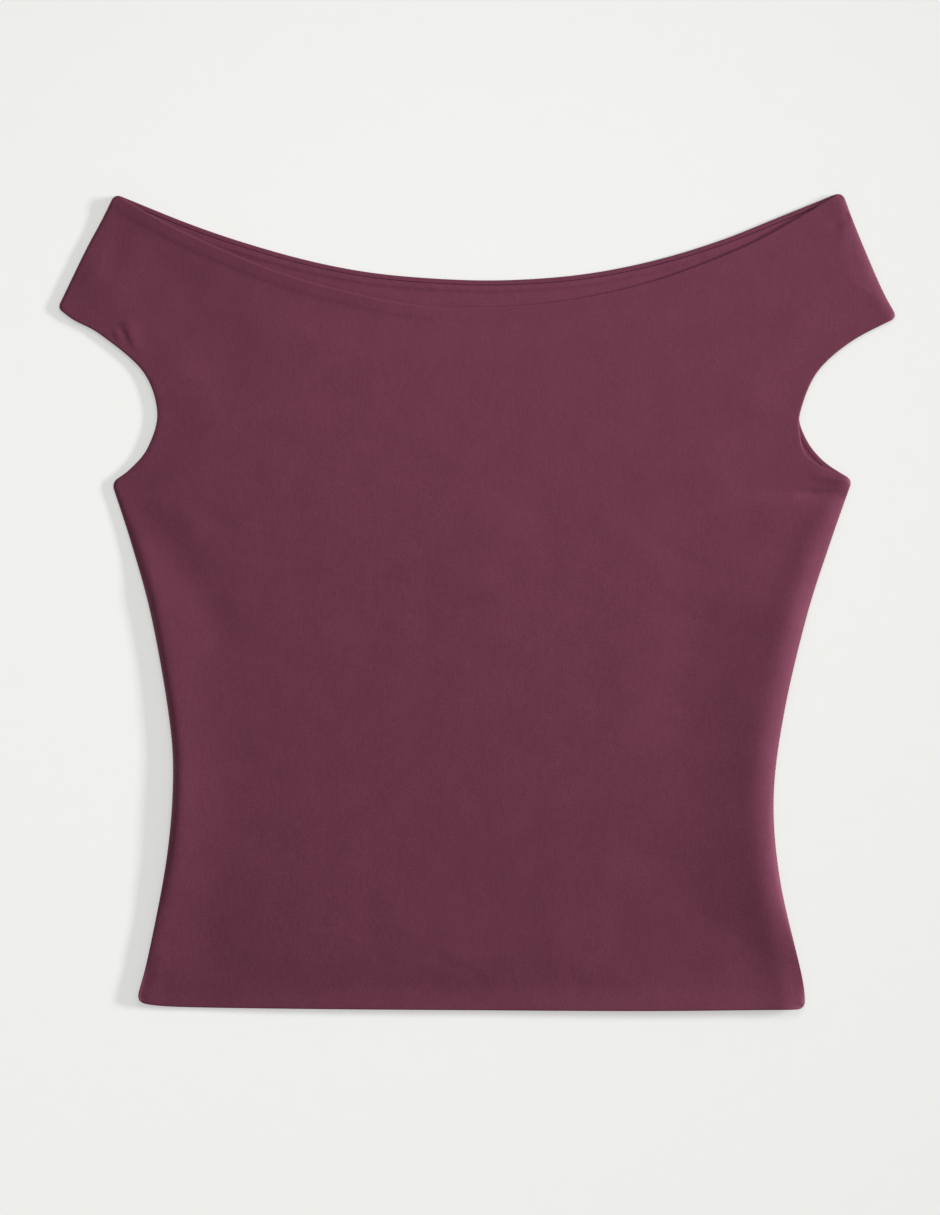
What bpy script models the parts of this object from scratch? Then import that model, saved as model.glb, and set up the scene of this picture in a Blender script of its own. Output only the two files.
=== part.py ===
"""Off-the-shoulder cropped top with cut-on cap sleeves, in a self-lined knit, laid flat with its front up.

Metres, +Z up. +X is to the right and +Y toward the neck as the top is seen from above. The origin lies on the
surface that carries the top, under the middle of its outline.

The top is cut from a front and a back, each with its sleeve halves cut on, and each lined with the same cloth.
Three layers are built, 0.3 mm apart: the back, the back's lining, which shows inside the neck, and the front,
whose own lining is hidden and is part of its wall. Every layer is a closed wall. Its plan comes from the edges
in the tables below, and its two surfaces are height functions over that plan, which meet at the rim.
"""
import math
from collections import namedtuple

import bmesh
import bpy
import numpy as np
from mathutils import Vector
from mathutils.geometry import delaunay_2d_cdt

MM = 0.001

# Walls, from the surface below upward
BACK_WALL = 1.0 * MM
LINING_WALL = 1.0 * MM
FRONT_WALL = 1.6 * MM
LAYER_GAP = 0.3 * MM
LINING_REST = BACK_WALL + LAYER_GAP
FRONT_REST = LINING_REST + LINING_WALL + LAYER_GAP

# Seams along the sides and the overarms, where the back curves up and the front curves down to meet it
SEAM_HEIGHT = 2.4 * MM
SEAM_LIFT = 1.4 * MM
LIFT_ALONG = (-200 * MM, 50 * MM)
LIFT_ACROSS = (-170 * MM, -60 * MM)
BACK_CURL = 7.0 * MM
FRONT_CURL = 8.0 * MM
ROLL_HEIGHT = 1.1 * MM
ROLL_LIFT = 0.9 * MM
ROLL_SPREAD = 5.0 * MM
ROLL_CREST = 5.5 * MM
ROLL_CREST_RIGHT = 9.5 * MM
RIGHT_CREST_BELOW = (30 * MM, 60 * MM)

# Turned edges along the neck, the armholes and the hem
LIP_WIDTH = 2.6 * MM
LIP_WALL = 0.3 * MM
LIP_HEIGHT = LINING_REST + LINING_WALL
LINING_INSET = LIP_WIDTH + LAYER_GAP
ALLOWANCE_RISE = 0.35 * MM
FRONT_ALLOWANCE = 7.0 * MM
NECK_ALLOWANCE = 6.6 * MM
ALLOWANCE_SLOPE = 1.0 * MM
NECK_ALLOWANCE_FADE = (120.0 * MM, 150.0 * MM)

# Loft of the front over the back away from its edges
LOFT = 1.2 * MM
LOFT_FLOOR = 0.3 * MM
EDGE_SHARE = 0.35
SETTLE_WIDTH = 26.0 * MM

# Plan of each edge, as points in millimetres from the garment's centre line and mid height. Each edge runs
# counter-clockwise, with the cloth on its left, and starts where the edge before it ends.
OVERARM_LEFT = ((-191.8, 217.0), (-198.8, 202.7), (-207.3, 186.8), (-222.8, 155.6))
SIDE_LEFT = ((-193.4, 63.8), (-182.8, 31.0), (-172.4, -7.2), (-163.3, -58.0), (-160.8, -92.0), (-164.0, -134.4),
             (-173.5, -185.2), (-180.4, -211.8))
SIDE_RIGHT = ((174.4, -215.4), (172.6, -198.0), (161.0, -147.1), (157.6, -103.0), (163.2, -58.0), (175.1, -7.2),
              (187.3, 31.0), (199.3, 65.2))
OVERARM_RIGHT = ((223.2, 151.4), (215.9, 164.6), (207.5, 183.6), (199.7, 202.7), (194.0, 218.2))

FRONT_NECK = ((194.0, 218.2), (171.7, 204.6), (139.9, 187.3), (92.2, 169.3), (44.5, 159.5), (-3.0, 156.6),
              (-40.3, 159.1), (-93.3, 171.4), (-135.7, 187.8), (-167.5, 203.1), (-191.8, 217.0))
FRONT_CUFF_LEFT = ((-222.8, 155.6), (-199.0, 142.0), (-176.8, 122.7), (-169.2, 101.0), (-174.2, 82.4),
                   (-183.6, 71.0), (-193.4, 63.8))
FRONT_HEM = ((-180.4, -211.8), (-160.0, -214.1), (-100.0, -215.4), (-10.0, -216.1), (90.0, -216.5),
             (174.4, -215.4))
FRONT_CUFF_RIGHT = ((199.3, 65.2), (176.8, 76.8), (171.4, 91.0), (172.5, 104.0), (181.2, 123.0), (199.2, 138.8),
                    (223.2, 151.4))

BACK_NECK = ((194.0, 218.2), (163.2, 205.7), (129.3, 192.2), (95.4, 181.9), (61.5, 175.0), (27.6, 171.7),
             (-6.4, 171.3), (-48.8, 174.3), (-82.7, 180.1), (-116.6, 189.1), (-150.5, 200.4), (-191.8, 217.0))
BACK_CUFF_LEFT = ((-222.8, 155.6), (-198.2, 143.0), (-175.6, 123.2), (-168.0, 101.0), (-173.2, 81.6),
                  (-182.8, 70.2), (-193.4, 63.8))
BACK_HEM = ((-180.4, -211.8), (-160.0, -212.8), (-100.0, -214.1), (-10.0, -214.8), (90.0, -215.2),
            (174.4, -215.4))
BACK_CUFF_RIGHT = ((199.3, 65.2), (184.1, 75.3), (174.6, 87.6), (171.4, 102.0), (180.0, 123.6), (198.6, 140.0),
                   (223.2, 151.4))
# The middle of the whole outline in those measures, which the origin lies under
PLAN_MIDDLE = (-0.2, 0.2)

# An edge: whether it is sewn to the other panel, its points' spacing and how far the corner at its end reaches
Edge = namedtuple("Edge", "name sewn points step corner_reach")
SMOOTH_STEP = 10.0 * MM
CUFF_STEP = 5.5 * MM
CORNER_STEPS = 4
CURVE_STEPS = 16

# A ring's points are kept where they lie at least this share of its distance from the rim
INSET_SHARE = 0.999
# The triangulation keeps what is inside the rim, and merges points closer than this, in millimetres
INSIDE_ONLY = 1
MERGE_WITHIN = 1e-4


def edges_of(neck, cuff_left, hem, cuff_right):
    """The eight edges of a panel, counter-clockwise from its right neck corner."""
    return (
        Edge("neck", False, neck, SMOOTH_STEP, 4.0 * MM),
        Edge("overarm_left", True, OVERARM_LEFT, SMOOTH_STEP, 2.2 * MM),
        Edge("cuff_left", False, cuff_left, CUFF_STEP, 4.0 * MM),
        Edge("side_left", True, SIDE_LEFT, SMOOTH_STEP, 6.0 * MM),
        Edge("hem", False, hem, SMOOTH_STEP, 5.0 * MM),
        Edge("side_right", True, SIDE_RIGHT, SMOOTH_STEP, 3.5 * MM),
        Edge("cuff_right", False, cuff_right, CUFF_STEP, 4.0 * MM),
        Edge("overarm_right", True, OVERARM_RIGHT, SMOOTH_STEP, 5.0 * MM),
    )


# The front's largest folds: a soft ridge, or a trough where the height is negative, along a bent line
Fold = namedtuple("Fold", "name start bend end spread height")
FOLDS = (
    Fold("left side trough", (-184.0, 54.0), (-156.0, 0.0), (-140.0, -132.0), 12.0, -1.5),
    Fold("left side swell", (-150.0, 60.0), (-122.0, -20.0), (-112.0, -120.0), 16.0, 0.5),
    Fold("right side trough", (108.0, 10.0), (112.0, -40.0), (122.0, -112.0), 14.0, -1.6),
    Fold("right hem trough", (78.0, -106.0), (119.0, -147.0), (160.0, -200.0), 12.0, -1.2),
    Fold("right side swell", (145.0, 20.0), (138.0, -60.0), (142.0, -150.0), 11.0, 0.8),
    Fold("chest swell", (30.0, 70.0), (34.0, 20.0), (66.0, -45.0), 34.0, 1.1),
    Fold("hem swell", (60.0, -195.0), (95.0, -190.0), (120.0, -205.0), 14.0, 0.7),
    Fold("left hem hollow", (-150.0, -165.0), (-120.0, -172.0), (-90.0, -178.0), 26.0, -0.7),
    Fold("left chest fold", (-112.0, 142.0), (-108.0, 110.0), (-110.0, 80.0), 8.0, 0.8),
    Fold("left neck fold", (-178.0, 196.0), (-130.0, 172.0), (-78.0, 152.0), 11.0, 0.9),
    Fold("left sleeve valley", (-189.0, 206.0), (-192.0, 172.0), (-184.0, 138.0), 7.0, -1.1),
    Fold("right sleeve crease", (199.0, 207.0), (190.0, 200.0), (182.0, 192.0), 4.0, -1.0),
    Fold("right sleeve ridge", (204.0, 172.0), (190.0, 160.0), (172.0, 152.0), 9.0, 0.7),
    Fold("right underarm crease", (171.0, 58.0), (181.0, 59.0), (191.0, 58.0), 3.5, -0.9),
    Fold("hem crease", (-24.0, -204.0), (-8.0, -196.0), (8.0, -188.0), 4.5, 0.8),
)
FOLD_STEPS = 12

# Rings of points inside the rim, as distances from it, and the spacing of the points in between
FRONT_TOP_RINGS = (0.25 * MM, 0.9 * MM, 2.4 * MM, 5.2 * MM, 8.0 * MM, 13.0 * MM)
FRONT_TOP_SPACING = 12.5 * MM
FRONT_UNDER_RINGS = (0.8 * MM, 1.8 * MM, 3.4 * MM, 8.5 * MM)
FRONT_UNDER_SPACING = 18.0 * MM
BACK_TOP_RINGS = (0.4 * MM, 1.0 * MM, LIP_WIDTH - LIP_WALL, LIP_WIDTH, 4.0 * MM, BACK_CURL)
BACK_UNDER_RINGS = (0.3 * MM, 1.2 * MM, 3.2 * MM, BACK_CURL)
LINING_TOP_RINGS = (0.3 * MM, 0.9 * MM, 3.2 * MM, 4.4 * MM)
LINING_UNDER_RINGS = (0.3 * MM, 0.9 * MM, 4.0 * MM)

# sRGB colours of the cloth's outside and of its inside
OUTSIDE_COLOUR = (103, 55, 71)
INSIDE_COLOUR = (96, 51, 66)
CLOTH_ROUGHNESS = 0.8


def placed(points):
    """Points of the tables in metres, measured from the outline's middle."""
    return (np.array(points) - PLAN_MIDDLE) * MM


def catmull_rom(points):
    """A dense smooth line through points of the tables."""
    knots = placed(points)
    knots = np.vstack([2 * knots[0] - knots[1], knots, 2 * knots[-1] - knots[-2]])
    line = []
    for first, second, third, fourth in zip(knots, knots[1:], knots[2:], knots[3:]):
        for share in np.arange(CURVE_STEPS) / CURVE_STEPS:
            line.append(0.5 * (2 * second + (third - first) * share
                               + (2 * first - 5 * second + 4 * third - fourth) * share ** 2
                               + (3 * second - first - 3 * third + fourth) * share ** 3))
    line.append(knots[-2])
    return np.array(line)


def resample(line, start, end, step):
    """Even points along a line, about a step apart, leaving out a length at its start and its end."""
    lengths = np.concatenate([[0.0], np.cumsum(np.linalg.norm(np.diff(line, axis=0), axis=1))])
    count = max(2, round((lengths[-1] - start - end) / step))
    places = np.linspace(start, lengths[-1] - end, count + 1)
    return np.column_stack([np.interp(places, lengths, line[:, axis]) for axis in range(2)])


def bezier(start, control, end, steps):
    """Points of a quadratic curve, both ends included."""
    share = np.linspace(0.0, 1.0, steps + 1)[:, None]
    start, control, end = (np.asarray(point) for point in (start, control, end))
    return (1 - share) ** 2 * start + 2 * share * (1 - share) * control + share ** 2 * end


class Plan:
    """The plan of a panel: its closed outline, and the lines of its sewn and its turned edges."""

    def __init__(self, edges):
        curves = []
        for edge, before in zip(edges, (edges[-1],) + edges[:-1]):
            curves.append(resample(catmull_rom(edge.points), before.corner_reach, edge.corner_reach, edge.step))
        corners = []
        for edge, curve, after in zip(edges, curves, curves[1:] + curves[:1]):
            corners.append(bezier(curve[-1], placed(edge.points[-1]), after[0], CORNER_STEPS))
        half = CORNER_STEPS // 2
        self.lines = {}
        self.sewn = []
        self.turned = []
        rim = []
        for edge, curve, corner, before in zip(edges, curves, corners, corners[-1:] + corners[:-1]):
            line = np.vstack([before[half:-1], curve, corner[1:half + 1]])
            self.lines[edge.name] = line
            (self.sewn if edge.sewn else self.turned).append(line)
            rim.extend([curve, corner[1:-1]])
        self.rim = np.vstack(rim)


def distance_to(places, lines):
    """How far each place is from the nearest of some lines."""
    nearest = np.full(len(places), np.inf)
    for line in lines:
        for start, end in zip(line, line[1:]):
            along = end - start
            share = np.clip((places - start) @ along / (along @ along), 0.0, 1.0)
            nearest = np.minimum(nearest, np.linalg.norm(places - start - share[:, None] * along, axis=1))
    return nearest


def closed(rim):
    """A rim as a list of one closed line."""
    return [np.vstack([rim, rim[:1]])]


def inset(rim, distance):
    """The rim moved inward by a distance, without the points that would cross at sharp corners."""
    ahead = np.roll(rim, -1, axis=0) - rim
    ahead /= np.linalg.norm(ahead, axis=1)[:, None]
    behind = np.roll(ahead, 1, axis=0)
    inward = np.column_stack([-(ahead + behind)[:, 1], (ahead + behind)[:, 0]])
    inward *= 2.0 / (inward ** 2).sum(axis=1)[:, None]
    moved = rim + distance * inward
    return moved[distance_to(moved, closed(rim)) > INSET_SHARE * distance]


def is_inside(places, rim):
    """Whether each place is inside the rim."""
    inside = np.zeros(len(places), dtype=bool)
    for start, end in zip(rim, np.roll(rim, -1, axis=0)):
        spans = (start[1] > places[:, 1]) != (end[1] > places[:, 1])
        height = end[1] - start[1] or 1.0
        crossing = start[0] + (places[:, 1] - start[1]) * (end[0] - start[0]) / height
        inside ^= spans & (places[:, 0] < crossing)
    return inside


def inner_points(rim, spacing, margin):
    """Points in staggered rows, a spacing apart, that lie inside the rim by a margin."""
    low, high = rim.min(axis=0), rim.max(axis=0)
    row_height = spacing * math.sqrt(0.75)
    rows = []
    for row, y in enumerate(np.arange(low[1], high[1], row_height)):
        x = np.arange(low[0] + (row % 2) * spacing / 2, high[0], spacing)
        rows.append(np.column_stack([x, np.full(len(x), y)]))
    places = np.vstack(rows)
    places = places[is_inside(places, rim)]
    return places[distance_to(places, closed(rim)) > margin]


def triangulate(rim, rings, spacing):
    """Triangles over the plan inside a rim.

    Returns the places after the rim's own, and the triangles, whose numbers count the rim's points first.
    """
    groups = [rim] + [inset(rim, distance) for distance in rings]
    joins = []
    first = 0
    for group in groups:
        numbers = np.arange(first, first + len(group))
        joins.extend(zip(numbers.tolist(), np.roll(numbers, -1).tolist()))
        first += len(group)
    if spacing:
        groups.append(inner_points(rim, spacing, rings[-1] + spacing / 2))
    places = np.vstack(groups) / MM
    found = delaunay_2d_cdt([Vector(place) for place in places], joins, [], INSIDE_ONLY, MERGE_WITHIN)
    spots, triangles, sources = found[0], found[2], found[3]
    number = {}
    extra = []
    for spot, source in enumerate(sources):
        if source and source[0] < len(rim):
            number[spot] = source[0]
        else:
            number[spot] = len(rim) + len(extra)
            extra.append(tuple(spots[spot]))
    return np.array(extra) * MM, [[number[spot] for spot in triangle] for triangle in triangles]


def quarter(distance, width):
    """A quarter round: 0 at the start, upright there, and 1 and level from a width on."""
    share = np.clip(distance / width, 0.0, 1.0)
    return np.sqrt(1.0 - (1.0 - share) ** 2)


def ease(distance, start, end):
    """A soft step from 0 at the start to 1 at the end."""
    share = np.clip((distance - start) / (end - start), 0.0, 1.0)
    return share * share * (3.0 - 2.0 * share)


def toward_left_hem(places):
    """1 at the left hem corner, where the seam stands highest, and 0 from the underarm and the middle on."""
    along = 1.0 - ease(places[:, 1], *LIFT_ALONG)
    across = 1.0 - ease(places[:, 0], *LIFT_ACROSS)
    return along * across


def seam_height(places):
    """Height at which the back's rim ends under the front's."""
    return SEAM_HEIGHT + SEAM_LIFT * toward_left_hem(places)


def fold_relief(places):
    """Height that the folds give the front over its even loft."""
    relief = np.zeros(len(places))
    for fold in FOLDS:
        line = bezier(placed(fold.start), placed(fold.bend), placed(fold.end), FOLD_STEPS)
        away = distance_to(places, [line])
        relief += fold.height * MM * np.exp(-(away / (fold.spread * MM)) ** 2)
    return relief


def seam_roll(places, from_seam):
    """Rounded swelling of the front along its seams, wider on the right side and higher at the left hem."""
    below_arm = (1.0 - ease(places[:, 1], *RIGHT_CREST_BELOW)) * (places[:, 0] > 0.0)
    crest = ROLL_CREST + (ROLL_CREST_RIGHT - ROLL_CREST) * below_arm
    height = ROLL_HEIGHT + ROLL_LIFT * toward_left_hem(places)
    return height * np.exp(-((from_seam - crest) / ROLL_SPREAD) ** 2)


def rounded_rim(top, under, from_edge, wall):
    """Both surfaces brought together in a half round along the turned edges."""
    middle = (top + under) / 2
    share = quarter(from_edge, wall / 2)
    return middle + (top - middle) * share, middle + (under - middle) * share


def back_inside(places, plan):
    """Height of the back's inner surface, without the lip that is turned in along its free edges."""
    rim = seam_height(places)
    curl = quarter(distance_to(places, plan.sewn) - BACK_WALL, BACK_CURL - BACK_WALL)
    return rim + (BACK_WALL - rim) * curl


def back_surfaces(places, plan):
    """Heights of the back's inner surface and of its underside, which is flat where it rests."""
    from_seam = distance_to(places, plan.sewn)
    from_edge = distance_to(places, plan.turned)
    lip = 1.0 - ease(from_edge, LIP_WIDTH - LIP_WALL, LIP_WIDTH)
    top = back_inside(places, plan)
    top = np.maximum(top, top + (LIP_HEIGHT - top) * lip)
    under = seam_height(places) * (1.0 - quarter(from_seam, BACK_CURL))
    return rounded_rim(top, under, from_edge, LIP_HEIGHT)


def lining_surfaces(places, plan, rim):
    """Heights of the lining's two surfaces: the back's inner surface moved up, with a seam allowance below."""
    under = back_inside(places, plan) + LAYER_GAP
    from_neck = distance_to(places, [plan.lines["neck"]])
    allowance = 1.0 - ease(from_neck, NECK_ALLOWANCE - ALLOWANCE_SLOPE, NECK_ALLOWANCE)
    allowance *= 1.0 - ease(np.abs(places[:, 0]), *NECK_ALLOWANCE_FADE)
    top = under + LINING_WALL + ALLOWANCE_RISE * allowance
    return rounded_rim(top, under, distance_to(places, closed(rim)), LINING_WALL)


def front_surfaces(places, plan):
    """Heights of the front's outer surface and of its underside, which lies on the lining."""
    from_seam = distance_to(places, plan.sewn)
    from_edge = distance_to(places, plan.turned)
    settle = EDGE_SHARE + (1.0 - EDGE_SHARE) * ease(from_edge, 0.0, SETTLE_WIDTH)
    loft = LOFT + fold_relief(places)
    loft = (loft + np.sqrt(loft ** 2 + LOFT_FLOOR ** 2)) / 2
    inside = FRONT_REST + loft * settle + seam_roll(places, from_seam)
    outside = inside + FRONT_WALL
    rim = seam_height(places) + LAYER_GAP
    top = rim + (outside - rim) * quarter(from_seam, FRONT_CURL)
    under = rim + (inside - rim) * quarter(from_seam - FRONT_WALL, FRONT_CURL - FRONT_WALL)
    allowance = 1.0 - ease(from_edge, FRONT_ALLOWANCE - ALLOWANCE_SLOPE, FRONT_ALLOWANCE + ALLOWANCE_SLOPE)
    top += ALLOWANCE_RISE * allowance * quarter(from_seam, FRONT_CURL)
    return rounded_rim(top, under, from_edge, FRONT_WALL)


def cloth(name, colour):
    """A matt cloth material of an sRGB colour."""
    material = bpy.data.materials.new(name)
    material.use_nodes = True
    shader = material.node_tree.nodes["Principled BSDF"]
    linear = [((value / 255 + 0.055) / 1.055) ** 2.4 for value in colour]
    shader.inputs["Base Color"].default_value = (*linear, 1.0)
    shader.inputs["Roughness"].default_value = CLOTH_ROUGHNESS
    shader.inputs["Metallic"].default_value = 0.0
    material.diffuse_color = (*linear, 1.0)
    return material


def wall(name, rim, surfaces, top_rings, top_spacing, under_rings, under_spacing, colour, collection):
    """A closed cloth wall inside a rim, from the function that gives the heights of its two surfaces."""
    mesh = bmesh.new()
    rim_heights = surfaces(rim)[0]
    rim_verts = [mesh.verts.new((x, y, z)) for (x, y), z in zip(rim, rim_heights)]
    plans = [triangulate(rim, top_rings, top_spacing), triangulate(rim, under_rings, under_spacing)]
    # A triangle between three points of the rim has no thickness where both surfaces hold it
    thin = set.intersection(*({frozenset(triangle) for triangle in triangles} for _, triangles in plans))
    for side, (places, triangles) in enumerate(plans):
        heights = surfaces(places)[side]
        verts = rim_verts + [mesh.verts.new((x, y, z)) for (x, y), z in zip(places, heights)]
        for triangle in triangles:
            if frozenset(triangle) in thin and max(triangle) < len(rim):
                continue
            corners = [verts[number] for number in triangle]
            mesh.faces.new(corners if side == 0 else corners[::-1])
    loose = [vert for vert in mesh.verts if not vert.link_faces]
    bmesh.ops.delete(mesh, geom=loose, context="VERTS")
    data = bpy.data.meshes.new(name)
    mesh.to_mesh(data)
    mesh.free()
    data.shade_smooth()
    data.materials.append(cloth(name + "_knit", colour))
    piece = bpy.data.objects.new(name, data)
    collection.objects.link(piece)
    return piece


def main():
    """Builds the three layers in their own collection."""
    for old in list(bpy.data.objects):
        bpy.data.objects.remove(old, do_unlink=True)
    collection = bpy.data.collections.new("off_shoulder_top")
    bpy.context.scene.collection.children.link(collection)

    back = Plan(edges_of(BACK_NECK, BACK_CUFF_LEFT, BACK_HEM, BACK_CUFF_RIGHT))
    front = Plan(edges_of(FRONT_NECK, FRONT_CUFF_LEFT, FRONT_HEM, FRONT_CUFF_RIGHT))
    lining_rim = inset(back.rim, LINING_INSET)

    wall("back_panel", back.rim, lambda places: back_surfaces(places, back),
         BACK_TOP_RINGS, None, BACK_UNDER_RINGS, None, OUTSIDE_COLOUR, collection)
    wall("back_lining", lining_rim, lambda places: lining_surfaces(places, back, lining_rim),
         LINING_TOP_RINGS, None, LINING_UNDER_RINGS, None, INSIDE_COLOUR, collection)
    wall("front_panel", front.rim, lambda places: front_surfaces(places, front),
         FRONT_TOP_RINGS, FRONT_TOP_SPACING, FRONT_UNDER_RINGS, FRONT_UNDER_SPACING, OUTSIDE_COLOUR, collection)


main()
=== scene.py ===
"""Off-the-shoulder cropped top with cut-on cap sleeves, in a self-lined brushed knit, laid flat with its front up.

Metres, +Z up. +X is to the right and +Y toward the neck as the top is seen from above. The origin lies on the
surface that carries the top, under the middle of its outline.

Three cloth layers take the place of the plain solids: the back, whose edge is turned in round the neck and the
armholes, the back's lining, which shows inside the neck, and the front. Sewing thread shows in the seams.
"""
import logging
import math
from dataclasses import dataclass, field
from enum import Enum
from typing import ClassVar, Iterable, Sequence

import bmesh
import bpy
import numpy as np
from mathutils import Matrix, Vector
from mathutils.geometry import delaunay_2d_cdt


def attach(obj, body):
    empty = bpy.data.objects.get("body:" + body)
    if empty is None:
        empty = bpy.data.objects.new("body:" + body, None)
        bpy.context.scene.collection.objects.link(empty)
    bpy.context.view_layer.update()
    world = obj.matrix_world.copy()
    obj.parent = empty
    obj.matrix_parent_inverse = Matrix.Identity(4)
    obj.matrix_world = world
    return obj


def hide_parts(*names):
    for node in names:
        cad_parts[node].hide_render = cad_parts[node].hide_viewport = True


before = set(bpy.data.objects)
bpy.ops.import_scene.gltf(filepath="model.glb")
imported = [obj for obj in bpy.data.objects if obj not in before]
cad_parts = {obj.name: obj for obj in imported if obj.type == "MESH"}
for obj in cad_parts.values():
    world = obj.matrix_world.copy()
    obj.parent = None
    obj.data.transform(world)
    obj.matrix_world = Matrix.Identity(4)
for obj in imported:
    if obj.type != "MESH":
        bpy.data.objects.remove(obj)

LOG = logging.getLogger("cropped_top")

MM = 0.001
ROOT_BODY = "root"

Pair = tuple[float, float]
Places = np.ndarray
Heights = np.ndarray


# Plan lines

# The middle of the whole outline in the measures of the tables, which the origin lies under
PLAN_MIDDLE: Pair = (-0.2, 0.2)
CURVE_STEPS = 16
# Beyond this distance nothing depends on how far a place is from an edge
EDGE_REACH = 40.0 * MM
# A ring's points are kept where they lie at least this share of its distance from the rim
INSET_SHARE = 0.999
# Where a rim turns back on itself, its point moves no farther than this allows
LEAST_BEND = 0.01
# The triangulation keeps what is inside the rim, and merges points closer than this, in millimetres
INSIDE_ONLY = 1
MERGE_WITHIN = 1e-4


def in_metres(*distances: float) -> tuple[float, ...]:
    """Turns millimetres to metres."""
    return tuple(distance * MM for distance in distances)


def placed(points: Sequence[Pair]) -> Places:
    """Turns points of the tables into places.

    Args:
        points: Points in millimetres from the garment's centre line and mid height.

    Returns:
        Places in metres, measured from the outline's middle.
    """
    return (np.array(points) - PLAN_MIDDLE) * MM


def catmull_rom(points: Sequence[Pair]) -> Places:
    """Draws a dense smooth line through points of the tables.

    Args:
        points: Points in millimetres.

    Returns:
        Places along the line, in metres.
    """
    knots = placed(points)
    knots = np.vstack([2 * knots[0] - knots[1], knots, 2 * knots[-1] - knots[-2]])
    line = []
    for first, second, third, fourth in zip(knots, knots[1:], knots[2:], knots[3:]):
        for share in np.arange(CURVE_STEPS) / CURVE_STEPS:
            line.append(0.5 * (2 * second + (third - first) * share
                               + (2 * first - 5 * second + 4 * third - fourth) * share ** 2
                               + (3 * second - first - 3 * third + fourth) * share ** 3))
    line.append(knots[-2])
    return np.array(line)


def lengths_along(line: Places) -> np.ndarray:
    """Gives the length from the start of a line to each of its places.

    Args:
        line: Places along the line.

    Returns:
        One length for each place, in metres.
    """
    return np.concatenate([[0.0], np.cumsum(np.linalg.norm(np.diff(line, axis=0), axis=1))])


def resample(line: Places, start: float, end: float, step: float) -> Places:
    """Spreads even places along a line.

    Args:
        line: Places along the line.
        start: Length left out at the start.
        end: Length left out at the end.
        step: Distance between places, at most a little more or less.

    Returns:
        The even places.
    """
    lengths = lengths_along(line)
    count = max(2, round((lengths[-1] - start - end) / step))
    spots = np.linspace(start, lengths[-1] - end, count + 1)
    return np.column_stack([np.interp(spots, lengths, line[:, axis]) for axis in range(2)])


def bezier(start: Places, control: Places, end: Places, steps: int) -> Places:
    """Draws a quadratic curve.

    Args:
        start: First place.
        control: The place that the curve bends toward.
        end: Last place.
        steps: Number of stretches.

    Returns:
        The curve's places, both ends included.
    """
    share = np.linspace(0.0, 1.0, steps + 1)[:, None]
    return (1 - share) ** 2 * start + 2 * share * (1 - share) * control + share ** 2 * end


@dataclass(frozen=True)
class Nearness:
    """Where places lie against a line: how far away, at what share of its length, and on which side."""

    away: np.ndarray
    along: np.ndarray
    side: np.ndarray


def nearness(places: Places, line: Places, reach: float) -> Nearness:
    """Finds the nearest point of a line for each place.

    Args:
        places: The places.
        line: Places along the line.
        reach: Places farther than this from the line keep this distance.

    Returns:
        The distance, the share along the line, and 1 to the left of the line or -1 to its right.
    """
    away = np.full(len(places), reach)
    along = np.zeros(len(places))
    side = np.ones(len(places))
    lengths = lengths_along(line)
    for number, (start, end) in enumerate(zip(line, line[1:])):
        low, high = np.minimum(start, end) - reach, np.maximum(start, end) + reach
        near = np.flatnonzero(((places > low) & (places < high)).all(axis=1))
        if not len(near):
            continue
        step = end - start
        offset = places[near] - start
        share = np.clip(offset @ step / (step @ step), 0.0, 1.0)
        gap = offset - share[:, None] * step
        distance = np.linalg.norm(gap, axis=1)
        closer = distance < away[near]
        picked = near[closer]
        away[picked] = distance[closer]
        along[picked] = lengths[number] + share[closer] * np.linalg.norm(step)
        side[picked] = np.where(step[0] * gap[closer, 1] - step[1] * gap[closer, 0] < 0.0, -1.0, 1.0)
    return Nearness(away, along / lengths[-1], side)


def distance_to(places: Places, lines: Iterable[Places], reach: float = EDGE_REACH) -> np.ndarray:
    """Measures how far each place is from the nearest of some lines.

    Args:
        places: The places.
        lines: The lines.
        reach: The largest distance given.

    Returns:
        One distance for each place.
    """
    nearest = np.full(len(places), reach)
    for line in lines:
        nearest = np.minimum(nearest, nearness(places, line, reach).away)
    return nearest


def closed(rim: Places) -> list[Places]:
    """Gives a rim as a list of one closed line."""
    return [np.vstack([rim, rim[:1]])]


def inset(rim: Places, distance: float) -> Places:
    """Moves a rim inward, without the points that would cross at sharp corners.

    Args:
        rim: The rim, counter-clockwise.
        distance: How far it moves.

    Returns:
        The places of the ring.
    """
    ahead = np.roll(rim, -1, axis=0) - rim
    ahead /= np.linalg.norm(ahead, axis=1)[:, None]
    behind = np.roll(ahead, 1, axis=0)
    inward = np.column_stack([-(ahead + behind)[:, 1], (ahead + behind)[:, 0]])
    moved = rim + distance * 2.0 * inward / np.maximum(np.sum(inward ** 2, axis=1), LEAST_BEND)[:, None]
    return moved[is_inside(moved, rim) & (distance_to(moved, closed(rim)) > INSET_SHARE * distance)]


def is_inside(places: Places, rim: Places) -> np.ndarray:
    """Tells whether each place is inside a rim.

    Args:
        places: The places.
        rim: The rim.

    Returns:
        One truth value for each place.
    """
    inside = np.zeros(len(places), dtype=bool)
    for start, end in zip(rim, np.roll(rim, -1, axis=0)):
        spans = (start[1] > places[:, 1]) != (end[1] > places[:, 1])
        height = end[1] - start[1] or 1.0
        crossing = start[0] + (places[:, 1] - start[1]) * (end[0] - start[0]) / height
        inside ^= spans & (places[:, 0] < crossing)
    return inside


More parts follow.
